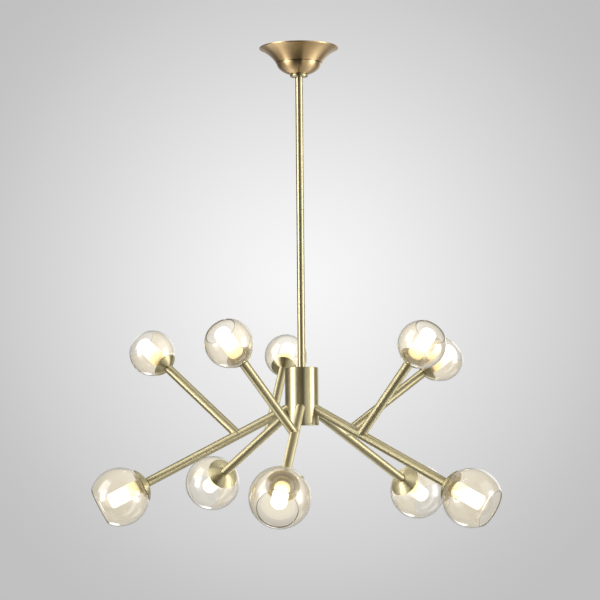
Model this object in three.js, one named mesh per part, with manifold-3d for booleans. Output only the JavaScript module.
// A ten-light sputnik chandelier in satin brass.
// Five straight arms droop from a cylindrical hub on a drop rod. Each arm carries a second tube that
// rises sideways from it, and all ten tubes end in a shallow cup, a lampholder, a tubular frosted
// lamp and a clear glass globe with a wide mouth.
//
// Millimetres, +Z up. The origin is on the ceiling, in the middle of the bracket's upper face, and
// everything hangs below it. -Y is the side that the viewer sees.

import * as THREE from 'three';
import { mergeVertices } from 'three/addons/utils/BufferGeometryUtils.js';
import Module from 'manifold-3d';

const wasm = await Module();
wasm.setup();

// Fits
const gap = 0.3;                  // between two pieces that touch
const rodPlay = 0.5;              // between the rod and the canopy's hole
const glassPlay = 0.6;            // between the lampholder and the globe's hole
const overrun = 5;                // how far a cutter runs past what it cuts

// Ceiling bracket: a flat bar with a slot near each end for the ceiling screws
const bracketLength = 104;
const bracketWidth = 24;
const bracketThickness = 2;
const slotEndDistance = 13;       // bar's end to a slot's middle
const slotLength = 16;
const slotWidth = 5;

// Swivel: a ball on the rod's top in a seat ring in a socket under the bracket, so the rod hangs plumb
const pivotDepth = 20;            // ceiling to the ball's centre
const ballRadius = 9;
const seatWall = 2;
const socketWall = 2.6;
const socketFlangeRadius = 19;    // the flange against the bracket
const socketFlangeThickness = 2;
const wireWindowWidth = 9;
const wireWindowHeight = 7;
const seatTopAngle = 100;         // degrees down from the ball's top
const seatBottomAngle = 140;
const socketBottomAngle = 141;

// Terminal block under the bracket, between the socket's flange and a slot
const terminalLength = 22;        // across the bracket
const terminalWidth = 10;         // along the bracket, as the wires run
const terminalHeight = 11;
const terminalHoleRadius = 1.7;
const terminalHoleSpacing = 7;
const terminalCentre = 25;        // from the rod's axis

// Canopy: a spun bell with a rolled lip, a flare, a ridge and a domed bottom
const canopyRimRadius = 69;
const canopyLipHeight = 2.6;
const canopyWall = 1.2;
const canopyRidgeRadius = 40.3;
const canopyRidgeDepth = 26.5;
const canopyRidgeStep = 1.3;
const canopyDepth = 47;
const canopyLandRadius = 16.2;
const flareShares = [[0.365, 0.188], [0.763, 0.565]];   // curve handles, from the lip to the ridge

// Canopy collar: a beaded ring that grips the rod and holds the canopy up
const collarRadius = 15.8;
const collarHeight = 5;

// Drop rod
const rodRadius = 6.6;
const rodBoreRadius = 3.5;
const threadRadius = 5;           // the rod's two ends and every head's stem
const rodShoulderDepth = 34;      // ceiling to where the thick rod starts
const dropToHub = 558;            // ceiling to the hub's top
const rodThreadLength = 16;       // inside the hub
const hubNutHeight = 6;
const hubNutFlats = 17;
const nutSides = 6;

// Hub
const hubRadius = 29;
const hubHeight = 100;
const hubWall = 2;
const hubTopThickness = 3;
const capThickness = 2;
const capSpigotHeight = 7;
const capSpigotWall = 1.6;
const armAxesAboveBottom = 42;    // hub's bottom to the point where the five arm axes meet

// Arm tubes
const tubeRadius = 8;
const tubeWall = 1.5;
const armStart = 20;              // along the arm, from the hub's axis to the tube's inner end
const mainReach = 354;            // hub's axis to the lower globe's centre
const branchStart = 126;          // hub's axis to the branch, along the arm
const branchReach = 225;          // arm's axis to the upper globe's centre
const endPlugLength = 14;
const wireHoleRadius = 4;

// Directions in degrees as the arms hang: azimuth from -Y towards +X, fall below level, and for the
// branch its own azimuth and rise. The brazed arms stray a little from 72 degrees apart.
const arms = [
  { name: 'a', azimuth: -79.0, fall: 27.0, branchAzimuth: -118.3, branchRise: 40.0 },
  { name: 'b', azimuth: -6.5, fall: 26.5, branchAzimuth: -37.2, branchRise: 40.2 },
  { name: 'c', azimuth: 63.5, fall: 27.9, branchAzimuth: 35.0, branchRise: 40.6 },
  { name: 'd', azimuth: 138.1, fall: 27.2, branchAzimuth: 105.7, branchRise: 36.4 },
  { name: 'e', azimuth: 211.0, fall: 24.1, branchAzimuth: 169.8, branchRise: 38.7 },
];

// Heads. Lower and upper heads differ in the globe and in what fits it.
const lowerGlobeRadius = 50;
const lowerMouthRadius = 32;
const lowerCupRadius = 29.7;
const lowerCupDepth = 12.5;
const lowerNutRadius = 18.7;
const upperGlobeRadius = 40;
const upperMouthRadius = 25.6;
const upperCupRadius = 23.8;
const upperCupDepth = 10;
const upperNutRadius = 15;
const glassWall = 2;
const cupWall = 1.4;

// Lampholder with its clamping ring nut
const holderRadius = 12;
const holderStemLength = 11;
const holderBoreRadius = 3;
const nutHeight = 4.5;
const holderLip = 5;
const socketRadius = 9.3;
const socketDepth = 9.6;
const pinHoleRadius = 1.3;

// Lamp: a frosted tube on a two-pin base
const lampRadius = 13;
const lampLength = 53;
const lampEdgeRadius = 4.5;
const lampBaseRadius = 8.7;
const lampBaseHeight = 9;
const pinRadius = 0.9;
const pinLength = 5.5;
const pinSpacing = 9;
const lampSeatGap = 0.5;

// Fineness
const canopySegments = 28;
const hubSegments = 24;
const rodSegments = 16;
const headSegments = 16;
const holderSegments = 12;
const tubeSegments = 12;
const pinSegments = 6;
const holeSteps = 4;
const flareSteps = 5;
const domeSteps = 4;
const beadSteps = 4;
const lipSteps = 2;
const ballSteps = 6;
const seatSteps = 3;
const globeSteps = [1, 5];        // from the stem's side to the seat, and from there to the mouth
const cupSteps = [1, 2];          // from the stem to the lampholder, and from there to the rim
const lampEdgeSteps = 2;

// Finishes
const satinBrass = { color: 0x9d9764, roughness: 0.34, metalness: 1 };
const canopyBrass = { color: 0xa98a5c, roughness: 0.3, metalness: 1 };
const bracketSteel = { color: 0xb9bcbd, roughness: 0.45, metalness: 1 };
const whitePlastic = { color: 0xe9e7e0, roughness: 0.5, metalness: 0 };
const amberGlass = {
  color: 0xf4e6c8, roughness: 0.03, metalness: 0, transparent: true, opacity: 0.3,
};
const litGlass = {
  color: 0xfffbe6, roughness: 0.5, metalness: 0, emissive: 0xfff2b0, emissiveIntensity: 0.9,
};

const part = new THREE.Group();

// Helpers

function radians(degrees) {
  return THREE.MathUtils.degToRad(degrees);
}

// A solid of revolution about Z. The outline is a list of [radius, height] that runs anticlockwise
// with the radius to the right and the height up, and it closes on itself or on the axis.
function turned(outline, segments) {
  const points = outline.map(([radius, height]) => new THREE.Vector2(radius, height));
  const onAxis = outline[0][0] === 0 && outline[outline.length - 1][0] === 0;
  if (!onAxis) points.push(points[0].clone());
  return new THREE.LatheGeometry(points, segments).rotateX(Math.PI / 2);
}

// Points on an ellipse about [0, centreHeight], by the angle from the top, in degrees.
function arc(acrossRadius, upRadius, centreHeight, fromAngle, toAngle, steps) {
  const points = [];
  for (let step = 0; step <= steps; step += 1) {
    const angle = radians(fromAngle + ((toAngle - fromAngle) * step) / steps);
    points.push([acrossRadius * Math.sin(angle), centreHeight + upRadius * Math.cos(angle)]);
  }
  return points;
}

// A round arc that has a point at each of three angles, with a number of steps in each stretch.
function arcVia(radius, centreHeight, [first, middle, last], [firstSteps, lastSteps]) {
  return [
    ...arc(radius, radius, centreHeight, first, middle, firstSteps),
    ...arc(radius, radius, centreHeight, middle, last, lastSteps).slice(1),
  ];
}

// The angle from the top, in degrees, at which an arc reaches a given distance from the axis. It is
// taken on the lower half where below is true.
function angleAtRadius(radius, arcRadius, below) {
  const angle = THREE.MathUtils.radToDeg(Math.asin(radius / arcRadius));
  return below ? 180 - angle : angle;
}

function solidOf(geometry) {
  const bare = geometry.clone();
  bare.deleteAttribute('normal');
  bare.deleteAttribute('uv');
  const merged = mergeVertices(bare);
  return new wasm.Manifold(new wasm.Mesh({
    numProp: 3,
    vertProperties: new Float32Array(merged.attributes.position.array),
    triVerts: new Uint32Array(merged.index.array),
  }));
}

function geometryOf(solid) {
  const mesh = solid.getMesh();
  const geometry = new THREE.BufferGeometry();
  geometry.setAttribute('position', new THREE.BufferAttribute(new Float32Array(mesh.vertProperties), 3));
  geometry.setIndex(new THREE.BufferAttribute(new Uint32Array(mesh.triVerts), 1));
  geometry.computeVertexNormals();
  return geometry;
}

function cut(geometry, cutters) {
  let solid = solidOf(geometry);
  for (const cutter of cutters) solid = solid.subtract(solidOf(cutter));
  return geometryOf(solid);
}

function join(geometry, additions) {
  let solid = solidOf(geometry);
  for (const addition of additions) solid = solid.add(solidOf(addition));
  return geometryOf(solid);
}

// A round bar on Z between two heights.
function bar(radius, fromHeight, toHeight, segments) {
  const length = toHeight - fromHeight;
  const geometry = new THREE.CylinderGeometry(radius, radius, length, segments);
  return geometry.rotateX(Math.PI / 2).translate(0, 0, fromHeight + length / 2);
}

function piece(name, geometry, finish, parent) {
  const mesh = new THREE.Mesh(geometry, new THREE.MeshStandardMaterial(finish));
  mesh.name = name;
  parent.add(mesh);
  return mesh;
}

// The direction of a tube that leaves at an azimuth and rises above level, both in degrees.
function heading(azimuth, rise) {
  const level = Math.cos(radians(rise));
  return new THREE.Vector3(
    Math.sin(radians(azimuth)) * level,
    -Math.cos(radians(azimuth)) * level,
    Math.sin(radians(rise)),
  );
}

// A group whose own +Z points along a direction.
function aimed(direction, parent) {
  const group = new THREE.Group();
  group.quaternion.setFromUnitVectors(new THREE.Vector3(0, 0, 1), direction);
  parent.add(group);
  return group;
}

// A geometry of one group's frame, seen from another group's frame.
function seenFrom(viewer, owner, geometry) {
  part.updateMatrixWorld(true);
  const change = viewer.matrixWorld.clone().invert().multiply(owner.matrixWorld);
  return geometry.clone().applyMatrix4(change);
}

// Ceiling bracket

function slotHole(centre) {
  const half = slotLength / 2 - slotWidth / 2;
  const hole = new THREE.Path();
  hole.absarc(centre + half, 0, slotWidth / 2, -Math.PI / 2, Math.PI / 2, false);
  hole.absarc(centre - half, 0, slotWidth / 2, Math.PI / 2, (3 * Math.PI) / 2, false);
  return hole;
}

function bracket() {
  const halfLength = bracketLength / 2;
  const halfWidth = bracketWidth / 2;
  const outline = new THREE.Shape();
  outline.absarc(halfLength - halfWidth, 0, halfWidth, -Math.PI / 2, Math.PI / 2, false);
  outline.absarc(halfWidth - halfLength, 0, halfWidth, Math.PI / 2, (3 * Math.PI) / 2, false);
  const slotMiddle = halfLength - slotEndDistance;
  outline.holes.push(slotHole(slotMiddle), slotHole(-slotMiddle));
  const plate = new THREE.ExtrudeGeometry(outline, {
    depth: bracketThickness, bevelEnabled: false, curveSegments: holeSteps,
  });
  return plate.translate(0, 0, -bracketThickness);
}

piece('ceiling_bracket', bracket(), bracketSteel, part);

// Swivel

const seatInnerRadius = ballRadius + gap;
const seatOuterRadius = seatInnerRadius + seatWall;
const socketInnerRadius = seatOuterRadius + gap;
const socketOuterRadius = socketInnerRadius + socketWall;
const socketTop = -bracketThickness - gap;

function swivelSocket() {
  const bowl = arc(socketInnerRadius, socketInnerRadius, -pivotDepth, socketBottomAngle, 90, seatSteps);
  const [mouthRadius, mouthHeight] = bowl[0];
  const bottom = mouthHeight - socketWall;
  const barrel = turned([
    [mouthRadius, bottom],
    [socketOuterRadius - socketWall, bottom],
    [socketOuterRadius, bottom + socketWall],
    [socketOuterRadius, socketTop - socketFlangeThickness],
    [socketFlangeRadius, socketTop - socketFlangeThickness],
    [socketFlangeRadius, socketTop],
    [socketInnerRadius, socketTop],
    ...bowl.reverse(),
  ], rodSegments);
  const window = new THREE.BoxGeometry(wireWindowWidth, socketOuterRadius + overrun, wireWindowHeight);
  const windowTop = socketTop - socketFlangeThickness;
  window.translate(0, (socketOuterRadius + overrun) / 2, windowTop - wireWindowHeight / 2);
  return cut(barrel, [window]);
}

function swivelSeat() {
  const inner = arc(seatInnerRadius, seatInnerRadius, -pivotDepth, seatTopAngle, seatBottomAngle, seatSteps);
  const outer = arc(seatOuterRadius, seatOuterRadius, -pivotDepth, seatBottomAngle, seatTopAngle, seatSteps);
  return turned([...inner, ...outer], rodSegments);
}

piece('swivel_socket', swivelSocket(), bracketSteel, part);
piece('swivel_seat', swivelSeat(), whitePlastic, part);

// Terminal block

function terminalBlock() {
  const outline = new THREE.Shape();
  outline.moveTo(-terminalLength / 2, 0);
  outline.lineTo(terminalLength / 2, 0);
  outline.lineTo(terminalLength / 2, terminalHeight);
  outline.lineTo(-terminalLength / 2, terminalHeight);
  for (const place of [-1, 0, 1]) {
    const hole = new THREE.Path();
    hole.absarc(place * terminalHoleSpacing, terminalHeight / 2, terminalHoleRadius, 0, 2 * Math.PI, false);
    outline.holes.push(hole);
  }
  const block = new THREE.ExtrudeGeometry(outline, {
    depth: terminalWidth, bevelEnabled: false, curveSegments: holeSteps,
  });
  return block.rotateX(Math.PI / 2).rotateZ(Math.PI / 2).translate(-terminalWidth / 2, 0, 0);
}

const terminal = piece('terminal_block', terminalBlock(), whitePlastic, part);
terminal.position.set(terminalCentre, 0, -bracketThickness - gap - terminalHeight);

// Canopy and its collar

const canopyHoleRadius = rodRadius + rodPlay;
const domeRadius = canopyRidgeRadius - canopyRidgeStep;
const domeCutAngle = THREE.MathUtils.radToDeg(Math.asin(canopyLandRadius / domeRadius));
const domeDepth = (canopyDepth - canopyRidgeDepth) / Math.cos(radians(domeCutAngle));

function flarePoints() {
  const lipRadius = canopyLipHeight / 2;
  const start = [canopyRimRadius - lipRadius, -canopyLipHeight];
  const end = [canopyRidgeRadius, -canopyRidgeDepth];
  const [first, second] = flareShares.map(([across, down]) => new THREE.Vector2(
    THREE.MathUtils.lerp(start[0], end[0], across),
    THREE.MathUtils.lerp(start[1], end[1], down),
  ));
  const curve = new THREE.CubicBezierCurve(
    new THREE.Vector2(...start), first, second, new THREE.Vector2(...end),
  );
  const points = [];
  for (let step = 0; step <= flareSteps; step += 1) {
    const share = step / flareSteps;
    const point = curve.getPoint(share);
    const tangent = curve.getTangent(share);
    points.push({
      outer: [point.x, point.y],
      inner: [point.x + tangent.y * canopyWall, point.y - tangent.x * canopyWall],
    });
  }
  return points;
}

function canopy() {
  const lipRadius = canopyLipHeight / 2;
  const lip = arc(lipRadius, lipRadius, -lipRadius, 0, 180, lipSteps).map(
    ([across, height]) => [canopyRimRadius - lipRadius + across, height],
  );
  const flare = flarePoints();
  const dome = arc(domeRadius, domeDepth, -canopyRidgeDepth, 90, 180 - domeCutAngle, domeSteps);
  const domeInside = dome.map(([radius, height]) => {
    const level = (-canopyRidgeDepth - height) / domeDepth;
    return [radius * (1 - canopyWall / domeRadius), -canopyRidgeDepth - level * (domeDepth - canopyWall)];
  });
  return turned([
    ...lip.slice(0, -1),
    ...flare.map((point) => point.outer),
    ...dome.slice(1),
    [canopyHoleRadius, -canopyDepth],
    [canopyHoleRadius, domeInside[domeInside.length - 1][1]],
    ...domeInside.slice(1).reverse(),
    ...flare.slice(1).map((point) => point.inner).reverse(),
  ].reverse(), canopySegments);
}

function collar() {
  const bead = collarHeight / 2;
  const top = -canopyDepth - gap;
  const edge = arc(bead, bead, top - bead, 180, 0, beadSteps).map(
    ([across, height]) => [collarRadius - bead + across, height],
  );
  const boreRadius = rodRadius + gap;
  return turned([[boreRadius, top - collarHeight], ...edge, [boreRadius, top]], canopySegments);
}

piece('canopy', canopy(), canopyBrass, part);
piece('canopy_collar', collar(), satinBrass, part);

// Drop rod with its swivel ball

function dropRod() {
  const neckAngle = angleAtRadius(threadRadius, ballRadius, true);
  const boreAngle = angleAtRadius(rodBoreRadius, ballRadius, false);
  const ball = arc(ballRadius, ballRadius, -pivotDepth, neckAngle, boreAngle, ballSteps);
  const threadEnd = -dropToHub - rodThreadLength;
  return turned([
    [rodBoreRadius, threadEnd],
    [threadRadius, threadEnd],
    [threadRadius, -dropToHub + gap],
    [rodRadius, -dropToHub + gap],
    [rodRadius, -rodShoulderDepth],
    [threadRadius, -rodShoulderDepth],
    ...ball,
  ], rodSegments);
}

piece('drop_rod', dropRod(), satinBrass, part);

// Hub, its nut and its cap, in a group at the hub's top

const hub = new THREE.Group();
hub.position.z = -dropToHub;
part.add(hub);

const armCentre = new THREE.Group();
armCentre.position.z = armAxesAboveBottom - hubHeight;
hub.add(armCentre);

const clearTubeRadius = tubeRadius + gap;
const threadHoleRadius = threadRadius + gap;

function hubShell(armGroups) {
  const shellBottom = -hubHeight + capThickness + gap;
  const innerRadius = hubRadius - hubWall;
  const shell = turned([
    [innerRadius, shellBottom],
    [hubRadius, shellBottom],
    [hubRadius, 0],
    [threadHoleRadius, 0],
    [threadHoleRadius, -hubTopThickness],
    [innerRadius, -hubTopThickness],
  ], hubSegments);
  const cutter = bar(clearTubeRadius, armStart - overrun, branchStart, tubeSegments);
  return cut(shell, armGroups.map((group) => seenFrom(hub, group, cutter)));
}

function hubNut() {
  const outline = new THREE.Shape();
  const cornerRadius = hubNutFlats / 2 / Math.cos(Math.PI / nutSides);
  for (let corner = 0; corner < nutSides; corner += 1) {
    const angle = (corner * 2 * Math.PI) / nutSides;
    const place = [cornerRadius * Math.cos(angle), cornerRadius * Math.sin(angle)];
    if (corner === 0) outline.moveTo(...place);
    else outline.lineTo(...place);
  }
  const hole = new THREE.Path();
  hole.absarc(0, 0, threadHoleRadius, 0, 2 * Math.PI, false);
  outline.holes.push(hole);
  const nut = new THREE.ExtrudeGeometry(outline, {
    depth: hubNutHeight, bevelEnabled: false, curveSegments: rodSegments / 2,
  });
  return nut.translate(0, 0, -hubTopThickness - gap - hubNutHeight);
}

function hubCap() {
  const spigotRadius = hubRadius - hubWall - gap;
  const discTop = -hubHeight + capThickness;
  return turned([
    [0, -hubHeight],
    [hubRadius, -hubHeight],
    [hubRadius, discTop],
    [spigotRadius, discTop],
    [spigotRadius, discTop + capSpigotHeight],
    [spigotRadius - capSpigotWall, discTop + capSpigotHeight],
    [spigotRadius - capSpigotWall, discTop],
    [0, discTop],
  ], hubSegments);
}

// Heads. Each is built about its globe's centre, with +Z out through the globe's mouth.

function headPlaces(globeRadius, mouthRadius, cupRadius, cupDepth, nutRadius) {
  const glassInside = globeRadius - glassWall;
  const cupRim = -Math.sqrt(globeRadius ** 2 - (cupRadius - cupWall - gap) ** 2);
  const nutBack = -Math.sqrt(glassInside ** 2 - nutRadius ** 2) + gap;
  const holderFront = nutBack + nutHeight + holderLip;
  return {
    globeRadius,
    glassInside,
    mouthRadius,
    cupRadius,
    cupDepth,
    nutRadius,
    cupRim,
    cupBack: cupRim - cupDepth,
    nutBack,
    holderFront,
    lampSeat: holderFront + lampSeatGap,
  };
}

const lowerHead = headPlaces(
  lowerGlobeRadius, lowerMouthRadius, lowerCupRadius, lowerCupDepth, lowerNutRadius,
);
const upperHead = headPlaces(
  upperGlobeRadius, upperMouthRadius, upperCupRadius, upperCupDepth, upperNutRadius,
);

// The sphere that a cup's outside or inside is a cap of.
function capSphere(rimRadius, depth, rimHeight) {
  const radius = (rimRadius ** 2 + depth ** 2) / (2 * depth);
  return { rimRadius, radius, centre: rimHeight - depth + radius };
}

function cupOutside(head) {
  return capSphere(head.cupRadius, head.cupDepth, head.cupRim);
}

function cupInside(head) {
  return capSphere(head.cupRadius - cupWall, head.cupDepth - cupWall, head.cupRim);
}

function capPoints(sphere) {
  const angles = [threadHoleRadius, holderRadius, sphere.rimRadius].map(
    (radius) => angleAtRadius(radius, sphere.radius, true),
  );
  return arcVia(sphere.radius, sphere.centre, angles, cupSteps);
}

function cup(head) {
  return turned([...capPoints(cupOutside(head)), ...capPoints(cupInside(head)).reverse()], headSegments);
}

// One face of the glass, with a point where a piece of seatRadius bears on it.
function glassPoints(head, radius, seatRadius) {
  const angles = [
    angleAtRadius(holderRadius + glassPlay, radius, true),
    angleAtRadius(seatRadius, radius, true),
    angleAtRadius(head.mouthRadius, radius, false),
  ];
  return arcVia(radius, 0, angles, globeSteps);
}

function globe(head) {
  const outside = glassPoints(head, head.globeRadius, head.cupRadius - cupWall - gap);
  const inside = glassPoints(head, head.glassInside, head.nutRadius);
  return turned([...outside, ...inside.reverse()], headSegments);
}

function lampholder(head) {
  const seat = cupInside(head);
  const back = seat.centre - Math.sqrt(seat.radius ** 2 - holderRadius ** 2) + gap;
  const stemEnd = head.cupBack - holderStemLength;
  const nutFront = head.nutBack + nutHeight;
  const socketFloor = head.holderFront - socketDepth;
  const body = turned([
    [holderBoreRadius, stemEnd],
    [threadRadius, stemEnd],
    [threadRadius, back],
    [holderRadius, back],
    [holderRadius, head.nutBack],
    [head.nutRadius, head.nutBack],
    [head.nutRadius, nutFront],
    [holderRadius, nutFront],
    [holderRadius, head.holderFront],
    [socketRadius, head.holderFront],
    [socketRadius, socketFloor],
    [holderBoreRadius, socketFloor],
  ], holderSegments);
  const pinHole = bar(pinHoleRadius, back - overrun, socketFloor + overrun, pinSegments);
  const sideHoles = [-1, 1].map((side) => pinHole.clone().translate((side * pinSpacing) / 2, 0, 0));
  return cut(body, sideHoles);
}

function lamp(head) {
  const tip = head.lampSeat + lampLength;
  const edge = arc(lampEdgeRadius, lampEdgeRadius, tip - lampEdgeRadius, 90, 0, lampEdgeSteps).map(
    ([across, height]) => [lampRadius - lampEdgeRadius + across, height],
  );
  const body = turned([
    [0, head.lampSeat - lampBaseHeight],
    [lampBaseRadius, head.lampSeat - lampBaseHeight],
    [lampBaseRadius, head.lampSeat],
    [lampRadius, head.lampSeat],
    ...edge,
    [0, tip],
  ], holderSegments);
  const pinEnd = head.lampSeat - lampBaseHeight - pinLength;
  const pin = bar(pinRadius, pinEnd, head.lampSeat - pinLength, pinSegments);
  return join(body, [-1, 1].map((side) => pin.clone().translate((side * pinSpacing) / 2, 0, 0)));
}

function addHead(label, head, reach, tubeGroup) {
  const group = new THREE.Group();
  group.position.z = reach;
  tubeGroup.add(group);
  piece(`cup_${label}`, cup(head), satinBrass, group);
  piece(`lampholder_${label}`, lampholder(head), satinBrass, group);
  piece(`globe_${label}`, globe(head), amberGlass, group);
  piece(`lamp_${label}`, lamp(head), litGlass, group);
}

// Tubes. A tube's end plug takes the head's stem.

function tube(from, to) {
  const boreRadius = tubeRadius - tubeWall;
  return turned([
    [boreRadius, from],
    [tubeRadius, from],
    [tubeRadius, to],
    [threadHoleRadius, to],
    [threadHoleRadius, to - endPlugLength],
    [boreRadius, to - endPlugLength],
  ], tubeSegments);
}

function addArm(arm) {
  const main = aimed(heading(arm.azimuth, -arm.fall), armCentre);
  const along = new THREE.Vector3(0, 0, branchStart).applyQuaternion(main.quaternion);
  const branch = aimed(heading(arm.branchAzimuth, arm.branchRise), armCentre);
  branch.position.copy(along);

  const wireHole = bar(wireHoleRadius, 0, tubeRadius + overrun, tubeSegments);
  const mainTube = tube(armStart, mainReach + lowerHead.cupBack);
  piece(`arm_${arm.name}`, cut(mainTube, [seenFrom(main, branch, wireHole)]), satinBrass, main);
  addHead(`lower_${arm.name}`, lowerHead, mainReach, main);

  const saddle = bar(clearTubeRadius, armStart, mainReach, tubeSegments);
  const branchTube = tube(0, branchReach + upperHead.cupBack);
  piece(`branch_${arm.name}`, cut(branchTube, [seenFrom(branch, main, saddle)]), satinBrass, branch);
  addHead(`upper_${arm.name}`, upperHead, branchReach, branch);
  return main;
}

const mainGroups = arms.map(addArm);
piece('hub_shell', hubShell(mainGroups), satinBrass, hub);
piece('hub_nut', hubNut(), bracketSteel, hub);
piece('hub_cap', hubCap(), satinBrass, hub);

export default part;
